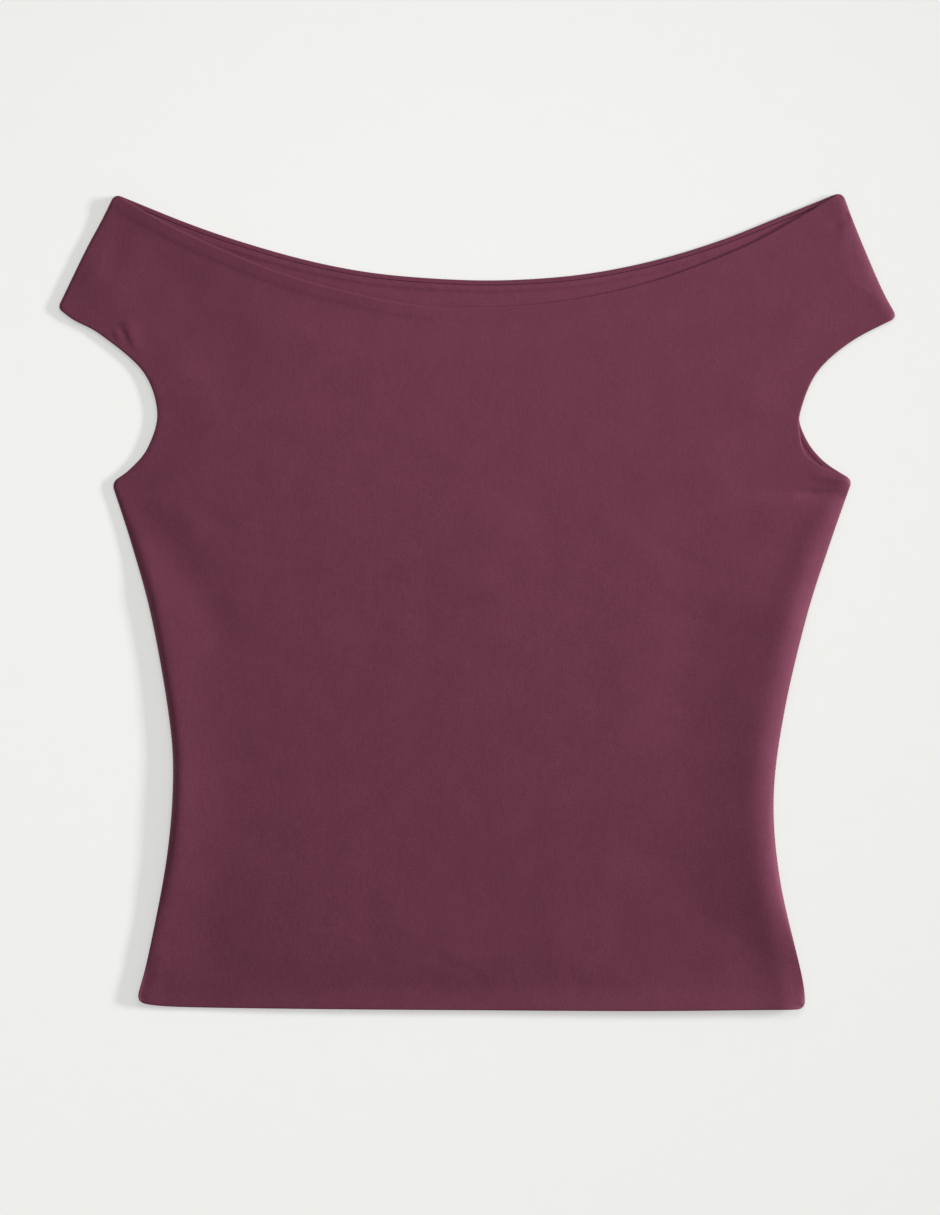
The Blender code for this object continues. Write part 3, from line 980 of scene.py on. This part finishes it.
@dataclass
class BackPanel(ClothPiece):
    """The back, with the back halves of both sleeves: flat where it rests, curled up at its seams."""

    top_rings: tuple[float, ...] = in_metres(0.15, 0.4, 0.8, 1.3, 1.8, 2.2, 2.35, 2.5, 2.6, 4.0, 7.0)
    under_rings: tuple[float, ...] = in_metres(0.15, 0.4, 0.8, 1.4, 2.2, 3.2, 4.4, 5.6, 7.0)
    under_spacing: float = 4.0 * MM
    lip_width: float = 2.6 * MM
    lip_wall: float = 0.15 * MM
    settling: Waviness = Waviness(0.08 * MM, 9.0 * MM, 30.0 * MM, seed=11)
    # Nearer the edge than this the underside lies flat, and farther in it touches the surface in spots only
    settling_from_edge: Pair = (2.0 * MM, 9.0 * MM)

    def surfaces(self, places: Places) -> tuple[Heights, Heights]:
        """Gives the heights of the inner surface and of the underside.

        Args:
            places: The places.

        Returns:
            The inner surface, with its turned-in lip, and the underside, which touches what it rests on.
        """
        from_seam = distance_to(places, self.outline.sewn)
        from_edge = distance_to(places, self.outline.turned)
        lip = 1.0 - ease(from_edge, self.lip_width - self.lip_wall, self.lip_width)
        top = LAYERS.back_inside(places, self.outline)
        top = np.maximum(top, top + (LAYERS.lip_height - top) * lip)
        lifted = np.maximum(self.settling.relief(places), 0.0) * ease(from_edge, *self.settling_from_edge)
        under = LAYERS.seam_height(places) * (1.0 - quarter(from_seam, LAYERS.back_curl)) + lifted
        return rounded_rim(top, np.minimum(under, top), from_edge, LAYERS.lip_height / 2, LAYERS.lip_height / 2)


@dataclass
class BackLining(ClothPiece):
    """The back's lining: it follows the back's inner surface, over a seam allowance along the neck."""

    top_rings: tuple[float, ...] = in_metres(0.1, 0.25, 0.5, 1.0, 1.6, 2.2, 2.8, 3.4, 4.2, 5.2, 7.0, 9.0, 12.0, 16.0)
    under_rings: tuple[float, ...] = in_metres(0.1, 0.25, 0.5, 4.0)
    inset: float = 2.65 * MM
    rim_round: float = 0.25 * MM
    allowance_edge: Pair = (5.6 * MM, 6.6 * MM)
    allowance_rise: float = 0.35 * MM
    allowance_fade: Pair = (120.0 * MM, 150.0 * MM)
    pucker_height: float = 0.12 * MM
    pucker_length: float = 6.5 * MM
    # Where across the allowance the puckers rise and where they sink again
    pucker_start: Pair = (3.0 * MM, 4.5 * MM)
    pucker_end: Pair = (5.0 * MM, 9.0 * MM)

    # How unevenly the puckers follow each other: how far and how slowly they shift, how slowly and from what
    # start they swell, and the share of their height that doesn't swell
    PUCKER_SHIFT: ClassVar[Pair] = (1.7, 5.3)
    PUCKER_SWELL: ClassVar[Pair] = (3.1, 1.0)
    PUCKER_STEADY: ClassVar[float] = 0.6

    def rim(self) -> Places:
        """Gives the lining's rim, just inside the back's turned-in lip."""
        return inset(self.outline.rim, self.inset)

    def surfaces(self, places: Places) -> tuple[Heights, Heights]:
        """Gives the heights of the lining's two surfaces.

        Args:
            places: The places.

        Returns:
            The upper surface, with the allowance's ridge and its small puckers, and the lower one.
        """
        under = LAYERS.back_inside(places, self.outline) + LAYERS.gap
        near = nearness(places, self.outline.lines["neck"], EDGE_REACH)
        ridge = 1.0 - ease(near.away, *self.allowance_edge)
        ridge *= 1.0 - ease(np.abs(places[:, 0]), *self.allowance_fade)
        length = lengths_along(self.outline.lines["neck"])[-1]
        phase = near.along * length * 2.0 * math.pi / self.pucker_length
        far, slow = self.PUCKER_SHIFT
        swell, start = self.PUCKER_SWELL
        pucker = np.sin(phase + far * np.sin(phase / slow))
        pucker *= self.PUCKER_STEADY + (1.0 - self.PUCKER_STEADY) * np.sin(phase / swell + start)
        reach = ease(near.away, *self.pucker_start) * (1.0 - ease(near.away, *self.pucker_end))
        top = under + LAYERS.lining_wall + self.allowance_rise * ridge + self.pucker_height * pucker * reach
        return rounded_rim(top, under, distance_to(places, closed(self.rim())), self.rim_round, self.rim_round)


@dataclass
class FrontPanel(ClothPiece):
    """The front, with the front halves of both sleeves: it lies loosely on the lining, in soft folds."""

    top_rings: tuple[float, ...] = in_metres(0.12, 0.3, 0.6, 1.0, 1.5, 2.1, 2.8, 3.6, 4.6, 5.7, 6.5, 7.3, 8.1, 9.4,
                                             11.0, 13.0)
    top_spacing: float = 1.9 * MM
    under_rings: tuple[float, ...] = in_metres(0.2, 0.5, 0.8, 1.6, 2.2, 3.2, 5.0, 8.0)
    under_spacing: float = 7.0 * MM
    left_roll: SideRoll = SideRoll((1.6, 5.0), (3.0, 5.0), (4.0, 5.0),
                                   heights=(0.6, 0.0, 0.4, 0.2, 0.0, 0.5, 0.1, 0.1))
    right_roll: SideRoll = SideRoll((5.0, 13.0), (5.0, 10.0), (5.0, 8.0),
                                    heights=(1.0, 0.5, 0.2, 0.6, 0.4, 1.4, 0.3, 0.2))
    loft: float = 1.3 * MM
    loft_floor: float = 0.2 * MM
    edge_share: float = 0.2
    # Distances from the turned edges, and from the overarm seams, over which the front comes up to its loft
    settle: Pair = (6.0 * MM, 30.0 * MM)
    sleeve_settle: Pair = (0.0, 14.0 * MM)
    # Toward the left side the front lies lower, but follows the seam where that stands up
    side_drop: float = 0.8 * MM
    side_drop_width: float = 36.0 * MM
    # The seam allowance turned in along the neck shows from the left sleeve to the middle
    allowance_width: float = 7.0 * MM
    allowance_rise: float = 0.22 * MM
    allowance_slope: float = 1.2 * MM
    allowance_across: Pair = (-70.0 * MM, 10.0 * MM)
    allowance_least: float = 0.3
    # The thick hem stands up from the cloth behind it, least at its left end
    hem_rise: Rise = Rise(1.6, 12.5, 1.3, (-180.0, -60.0))
    right_hem_rise: Rise = Rise(1.3, 20.0, 1.4, (0.0, 110.0))
    # Toward the left sleeve the neck's edge stands up too
    neck_rise: Rise = Rise(1.7, 26.0, 1.6, (20.0, -110.0))
    neck_round: float = 1.2 * MM
    hem_round: float = 1.0 * MM
    cuff_round: float = 1.4 * MM
    # Round the left arm the edge is rolled under more than along its sleeve
    arm_round: float = 3.6 * MM
    arm_round_along: Pair = (105.0 * MM, 135.0 * MM)
    folds: tuple[Fold, ...] = FOLDS
    creases: tuple[Fold, ...] = CREASES
    handling: Waviness = Waviness(0.05 * MM, 18.0 * MM, 60.0 * MM, seed=5)

    def surfaces(self, places: Places) -> tuple[Heights, Heights]:
        """Gives the heights of the outer surface and of the underside.

        Args:
            places: The places.

        Returns:
            The outer surface, and the underside, which lies on the lining.
        """
        from_seam = distance_to(places, self.outline.sewn)
        from_edge = distance_to(places, self.outline.turned)
        edges = self.outline.lines
        from_sleeve = distance_to(places, [edges["overarm_left"], edges["overarm_right"]])
        settle = np.minimum(ease(from_edge, *self.settle), ease(from_sleeve, *self.sleeve_settle))
        settle = self.edge_share + (1.0 - self.edge_share) * settle
        toward_side = 1.0 - ease(distance_to(places, [edges["side_left"]]), 0.0, self.side_drop_width)
        side = (LAYERS.seam_lift * LAYERS.toward_left_hem(places) - self.side_drop) * toward_side
        loft = self.loft + side + sum(fold.relief(places) for fold in self.folds)
        loft = (loft + np.sqrt(loft ** 2 + self.loft_floor ** 2)) / 2
        sides = zip(self.left_roll.measures(places), self.right_roll.measures(places))
        curl, crest, spread, height = (np.where(places[:, 0] < 0.0, left, right) for left, right in sides)
        from_hem = distance_to(places, [edges["hem"]])
        from_neck = distance_to(places, [edges["neck"]])
        rise = (self.hem_rise.relief(places, from_hem) + self.right_hem_rise.relief(places, from_hem)
                + self.neck_rise.relief(places, from_neck))
        inside = LAYERS.front_rest + loft * settle + height * bump(from_seam - crest, spread) + rise
        outside = inside + LAYERS.front_wall + self.handling.relief(places)
        rim = LAYERS.seam_height(places) + LAYERS.gap
        top = rim + (outside - rim) * quarter(from_seam, curl)
        wall = LAYERS.front_wall
        under = rim + (inside - rim) * quarter(from_seam - wall, curl - wall)
        allowance = 1.0 - ease(from_neck, self.allowance_width - self.allowance_slope,
                               self.allowance_width + self.allowance_slope)
        allowance *= 1.0 - (1.0 - self.allowance_least) * ease(places[:, 0], *self.allowance_across)
        creases = sum(fold.relief(places) for fold in self.creases)
        top += (self.allowance_rise * allowance + creases) * quarter(from_seam, curl)
        return rounded_rim(top, under, from_edge, self.rounding(places, from_neck, from_hem), wall / 2)

    def rounding(self, places: Places, from_neck: np.ndarray, from_hem: np.ndarray) -> np.ndarray:
        """Gives the width over which the turned edge nearest to each place is rounded.

        Args:
            places: The places.
            from_neck: Distance from the neck.
            from_hem: Distance from the hem.

        Returns:
            One width for each place.
        """
        arm = (1.0 - ease(places[:, 1], *self.arm_round_along)) * (places[:, 0] < 0.0)
        width = self.cuff_round + (self.arm_round - self.cuff_round) * arm
        from_cuff = distance_to(places, [self.outline.lines["cuff_left"], self.outline.lines["cuff_right"]])
        width = np.where(from_neck < from_cuff, self.neck_round, width)
        return np.where(from_hem < np.minimum(from_cuff, from_neck), self.hem_round, width)


# Stitches

@dataclass
class SeamStitches:
    """Stitches in a seam, spread along a path by Geometry Nodes, each of which leans along the seam and stands up."""

    name: str
    finish: SewingThread
    along: float = 0.35
    upright: float = 1.0
    pitch: float = 2.5 * MM
    length: float = 0.9 * MM
    radius: float = 0.12 * MM
    jitter: float = 0.12
    seed: int = 3
    sides: int = 6
    rings: int = 5

    def tree(self) -> bpy.types.NodeTree:
        """Builds the node tree.

        Returns:
            A tree that follows the edges of the mesh it is given.
        """
        tree = bpy.data.node_groups.new(self.name + "_tree", "GeometryNodeTree")
        face = tree.interface
        face.new_socket("Geometry", in_out="INPUT", socket_type="NodeSocketGeometry")
        for name in ("Pitch", "Stitch Length", "Thread Radius", "Along", "Upright", "Jitter"):
            face.new_socket(name, in_out="INPUT", socket_type="NodeSocketFloat")
        face.new_socket("Seed", in_out="INPUT", socket_type="NodeSocketInt")
        face.new_socket("Thread", in_out="INPUT", socket_type="NodeSocketMaterial")
        face.new_socket("Geometry", in_out="OUTPUT", socket_type="NodeSocketGeometry")
        given = add_node(tree, "NodeGroupInput").outputs
        path = add_node(tree, "GeometryNodeMeshToCurve", None, {"Mesh": given["Geometry"]})
        spots = add_node(tree, "GeometryNodeResampleCurve", {"mode": "LENGTH"},
                         {"Curve": path.outputs["Curve"], "Length": given["Pitch"]})
        tangent = add_node(tree, "GeometryNodeInputTangent").outputs["Tangent"]
        along = add_node(tree, "ShaderNodeVectorMath", {"operation": "SCALE"},
                         {0: tangent, "Scale": given["Along"]})
        rise = add_node(tree, "ShaderNodeCombineXYZ", None, {"Z": given["Upright"]})
        down = add_node(tree, "ShaderNodeMath", {"operation": "MULTIPLY", 1: -1.0}, {0: given["Jitter"]})
        low = add_node(tree, "ShaderNodeCombineXYZ", None, {axis: down.outputs[0] for axis in "XYZ"})
        high = add_node(tree, "ShaderNodeCombineXYZ", None, {axis: given["Jitter"] for axis in "XYZ"})
        loose = add_node(tree, "FunctionNodeRandomValue", {"data_type": "FLOAT_VECTOR"},
                         {0: low.outputs[0], 1: high.outputs[0], "Seed": given["Seed"]})
        straight = add_node(tree, "ShaderNodeVectorMath", {"operation": "ADD"},
                            {0: along.outputs[0], 1: rise.outputs[0]})
        aim = add_node(tree, "ShaderNodeVectorMath", {"operation": "ADD"},
                       {0: straight.outputs[0], 1: loose.outputs[0]})
        turned = add_node(tree, "FunctionNodeAlignRotationToVector", {"axis": "X"}, {"Vector": aim.outputs[0]})
        half = add_node(tree, "ShaderNodeMath", {"operation": "MULTIPLY", 1: 0.5}, {0: given["Stitch Length"]})
        size = add_node(tree, "ShaderNodeCombineXYZ", None,
                        {"X": half.outputs[0], "Y": given["Thread Radius"], "Z": given["Thread Radius"]})
        stitch = add_node(tree, "GeometryNodeMeshUVSphere",
                          {"Segments": self.sides, "Rings": self.rings, "Radius": 1.0})
        laid = add_node(tree, "GeometryNodeInstanceOnPoints", None,
                        {"Points": spots.outputs["Curve"], "Instance": stitch.outputs["Mesh"],
                         "Rotation": turned.outputs["Rotation"], "Scale": size.outputs[0]})
        real = add_node(tree, "GeometryNodeRealizeInstances", None, {"Geometry": laid.outputs["Instances"]})
        dyed = add_node(tree, "GeometryNodeSetMaterial", None,
                        {"Geometry": real.outputs["Geometry"], "Material": given["Thread"]})
        add_node(tree, "NodeGroupOutput", None, {"Geometry": dyed.outputs["Geometry"]})
        return tree

    def build(self, paths: Sequence[np.ndarray]) -> bpy.types.Object:
        """Lays the stitches along paths.

        Args:
            paths: Lines of points in space.

        Returns:
            The stitches as one plain mesh.
        """
        verts, edges = [], []
        for path in paths:
            first = len(verts)
            verts.extend(path.tolist())
            edges.extend((number, number + 1) for number in range(first, first + len(path) - 1))
        guide_mesh = bpy.data.meshes.new(self.name + "_guide")
        guide_mesh.from_pydata(verts, edges, [])
        guide = bpy.data.objects.new(self.name + "_guide", guide_mesh)
        bpy.context.collection.objects.link(guide)
        modifier = guide.modifiers.new("stitches", "NODES")
        modifier.node_group = self.tree()
        thread = self.finish.material()
        values = {"Pitch": self.pitch, "Stitch Length": self.length, "Thread Radius": self.radius,
                  "Along": self.along, "Upright": self.upright, "Jitter": self.jitter,
                  "Seed": self.seed, "Thread": thread}
        for socket in modifier.node_group.interface.items_tree:
            if socket.in_out == "INPUT" and socket.name in values:
                modifier[socket.identifier] = values[socket.name]
        evaluated = guide.evaluated_get(bpy.context.evaluated_depsgraph_get())
        data = bpy.data.meshes.new_from_object(evaluated)
        data.name = self.name
        bpy.data.objects.remove(guide, do_unlink=True)
        data.shade_smooth()
        piece = bpy.data.objects.new(self.name, data)
        bpy.context.collection.objects.link(piece)
        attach(piece, ROOT_BODY)
        LOG.info("%s: %d faces", self.name, len(data.polygons))
        return piece


def raised(line: Places, heights: Heights) -> np.ndarray:
    """Lifts a line of the plan into space.

    Args:
        line: Places along the line.
        heights: One height for each place.

    Returns:
        Points in space.
    """
    return np.column_stack([line, heights])


# Studio

@dataclass(frozen=True)
class Softbox:
    """A soft light that faces the middle of the top: metres, degrees and watts."""

    name: str
    distance: float
    elevation: float
    bearing: float
    size: Pair
    power: float
    spread: float = 180.0

    def build(self) -> None:
        """Hangs the light, which the camera doesn't see itself."""
        light = bpy.data.lights.new(self.name, "AREA")
        light.shape = "RECTANGLE"
        light.size, light.size_y = self.size
        light.energy = self.power
        light.spread = math.radians(self.spread)
        lamp = bpy.data.objects.new(self.name, light)
        elevation, bearing = math.radians(self.elevation), math.radians(self.bearing)
        reach = self.distance * math.cos(elevation)
        lamp.location = (reach * math.cos(bearing), reach * math.sin(bearing), self.distance * math.sin(elevation))
        lamp.rotation_euler = (-Vector(lamp.location)).to_track_quat("-Z", "Y").to_euler()
        lamp.visible_camera = False
        bpy.context.collection.objects.link(lamp)


@dataclass
class Studio:
    """A pale floor, a low key light on the right, a nearer one past the neck, and a camera straight above."""

    floor_size: float = 12.0
    floor_drop: float = 0.1 * MM
    surround_colour: str = "#FFFFFF"
    surround_strength: float = 0.3
    key: Softbox = Softbox("key_softbox", 4.0, 19.0, 8.0, (1.33, 0.44), 203.0)
    top: Softbox = Softbox("neck_softbox", 1.0, 60.0, 80.0, (0.6, 0.5), 1.0, spread=100.0)
    camera_height: float = 2.6
    camera_level: float = 3.0 * MM
    camera_centre: Pair = (-3.18 * MM, -2.65 * MM)
    view_height: float = 643.95 * MM
    sensor_mm: float = 36.0
    sight: float = 100.0
    finish: OpalBoard = field(default_factory=OpalBoard)

    def build(self) -> None:
        """Makes the floor, the lights, the surround and the camera."""
        self.floor()
        self.light()
        self.camera()
        LOG.info("studio: floor, two soft lights, surround and camera")

    def floor(self) -> None:
        """Lays the floor just under the cloth."""
        half = self.floor_size / 2
        data = bpy.data.meshes.new("floor")
        corners = [(x, y, -self.floor_drop) for x, y in ((-half, -half), (half, -half), (half, half), (-half, half))]
        data.from_pydata(corners, [], [(0, 1, 2, 3)])
        data.materials.append(self.finish.material())
        piece = bpy.data.objects.new("floor", data)
        bpy.context.collection.objects.link(piece)

    def light(self) -> None:
        """Sets both soft lights and the even surround."""
        self.key.build()
        self.top.build()
        world = bpy.data.worlds.new("surround")
        world.use_nodes = True
        ground = world.node_tree.nodes["Background"]
        ground.inputs["Color"].default_value = linear(self.surround_colour)
        ground.inputs["Strength"].default_value = self.surround_strength
        bpy.context.scene.world = world
        bpy.context.scene.view_settings.view_transform = "Standard"

    def camera(self) -> None:
        """Hangs the camera over the middle of the photograph's frame."""
        data = bpy.data.cameras.new("camera")
        data.sensor_fit = "AUTO"
        data.sensor_width = self.sensor_mm
        data.lens = self.sensor_mm * (self.camera_height - self.camera_level) / self.view_height
        data.clip_end = self.sight
        camera = bpy.data.objects.new("camera", data)
        camera.location = (*self.camera_centre, self.camera_height)
        bpy.context.collection.objects.link(camera)
        bpy.context.scene.camera = camera


OUTER_KNIT = BrushedKnit("brushed_polyester_jersey_outside", shade="#532836", light="#5E303F", glow="#F08EB4")
# The lining is the same jersey dyed a little lighter: painted light that makes up for the dimmer light falling inside
# the neck
LIGHTENED_LINING_KNIT = BrushedKnit("brushed_polyester_jersey_inside", shade="#562A38", light="#623242", glow="#F08EB4")


def main() -> None:
    """Builds the layers, the stitches and the studio."""
    logging.basicConfig(level=logging.INFO, format="%(name)s: %(message)s")
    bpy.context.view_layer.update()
    back_outline = Outline(BACK_CUT, step=2.5 * MM)
    front_outline = Outline(FRONT_CUT, step=2.0 * MM)
    BackPanel("back_cloth", "back_panel", "outer_knit", OUTER_KNIT, back_outline).build()
    BackLining("back_lining_cloth", "back_lining", "lining_knit", LIGHTENED_LINING_KNIT, back_outline,
               rests_on=("back_cloth",)).build()
    FrontPanel("front_cloth", "front_panel", "outer_knit", OUTER_KNIT, front_outline,
               rests_on=("back_lining_cloth",)).build()

    seams = [raised(line, LAYERS.seam_height(line) + LAYERS.gap / 2) for line in front_outline.sewn]
    SeamStitches("side_and_overarm_stitches", SewingThread()).build(seams)
    Studio().build()


if __name__ == "__main__":
    main()
